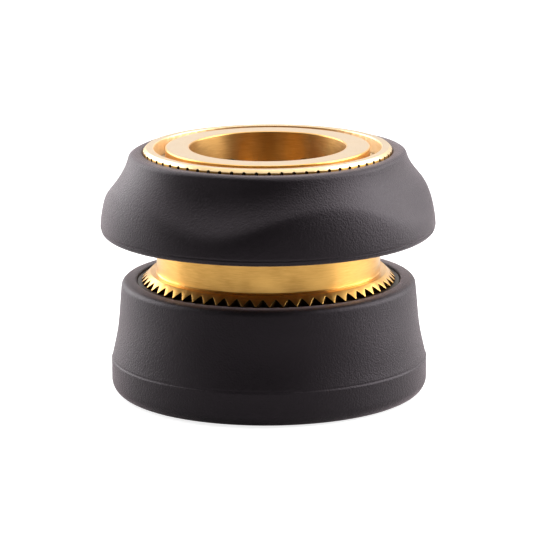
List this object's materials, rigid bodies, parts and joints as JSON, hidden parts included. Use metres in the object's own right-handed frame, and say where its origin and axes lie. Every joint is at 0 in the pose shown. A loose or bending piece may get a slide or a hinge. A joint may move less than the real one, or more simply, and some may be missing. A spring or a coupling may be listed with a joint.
{
  "type": "garden hose quick connector",
  "caption": "Brass garden hose quick coupler with a ball-lock sleeve, rubber grips, a plug mouth and a threaded hose end.",
  "frame": {"origin": "on the axis, at the foot of the lower grip, where the connector stands", "axes": "+Z along the water way, from the hose thread up to the plug mouth"},
  "size_m": [0.0474, 0.0474, 0.0351],
  "materials": {
    "turned_brass": "turned, bright, fine tool marks",
    "grip_rubber": "moulded, matte, fine grain",
    "spring_steel": "plain drawn or stamped steel",
    "ball_steel": "ground and polished",
    "seal_rubber": "moulded, smooth"
  },
  "bodies": {
    "barrel_body": {"barrel": "turned_brass", "hose_socket": "turned_brass", "socket_grip": "grip_rubber", "snap_ring": "spring_steel", "spring": "spring_steel", "nose_seal": "seal_rubber", "joint_gasket": "seal_rubber", "hose_washer": "seal_rubber"},
    "sleeve_body": {"sleeve": "turned_brass", "sleeve_grip": "grip_rubber"},
    "ball_1": {"locking_ball_1": "ball_steel"},
    "ball_2": {"locking_ball_2": "ball_steel"},
    "ball_3": {"locking_ball_3": "ball_steel"},
    "ball_4": {"locking_ball_4": "ball_steel"},
    "ball_5": {"locking_ball_5": "ball_steel"},
    "ball_6": {"locking_ball_6": "ball_steel"}
  },
  "joints": [
    {"name": "sleeve_slide", "type": "slide", "parent": "barrel_body", "child": "sleeve_body", "axis": [0, 0, -1], "range_m": [0, 0.0032], "stiffness_N_per_m": 260, "springref_m": -0.013, "deforming": ["spring"]},
    {"name": "ball_slide_1", "type": "slide", "parent": "barrel_body", "child": "ball_1", "axis": [1, 0, 0], "range_m": [0, 0.00106]},
    {"name": "ball_slide_2", "type": "slide", "parent": "barrel_body", "child": "ball_2", "axis": [0.5, 0.866, 0], "range_m": [0, 0.00106]},
    {"name": "ball_slide_3", "type": "slide", "parent": "barrel_body", "child": "ball_3", "axis": [-0.5, 0.866, 0], "range_m": [0, 0.00106]},
    {"name": "ball_slide_4", "type": "slide", "parent": "barrel_body", "child": "ball_4", "axis": [-1, 0, 0], "range_m": [0, 0.00106]},
    {"name": "ball_slide_5", "type": "slide", "parent": "barrel_body", "child": "ball_5", "axis": [-0.5, -0.866, 0], "range_m": [0, 0.00106]},
    {"name": "ball_slide_6", "type": "slide", "parent": "barrel_body", "child": "ball_6", "axis": [0.5, -0.866, 0], "range_m": [0, 0.00106]}
  ],
  "couplings": [
    {"joint": "ball_slide_1", "follows": "sleeve_slide", "ratio": 0.33},
    {"joint": "ball_slide_2", "follows": "sleeve_slide", "ratio": 0.33},
    {"joint": "ball_slide_3", "follows": "sleeve_slide", "ratio": 0.33},
    {"joint": "ball_slide_4", "follows": "sleeve_slide", "ratio": 0.33},
    {"joint": "ball_slide_5", "follows": "sleeve_slide", "ratio": 0.33},
    {"joint": "ball_slide_6", "follows": "sleeve_slide", "ratio": 0.33}
  ]
}
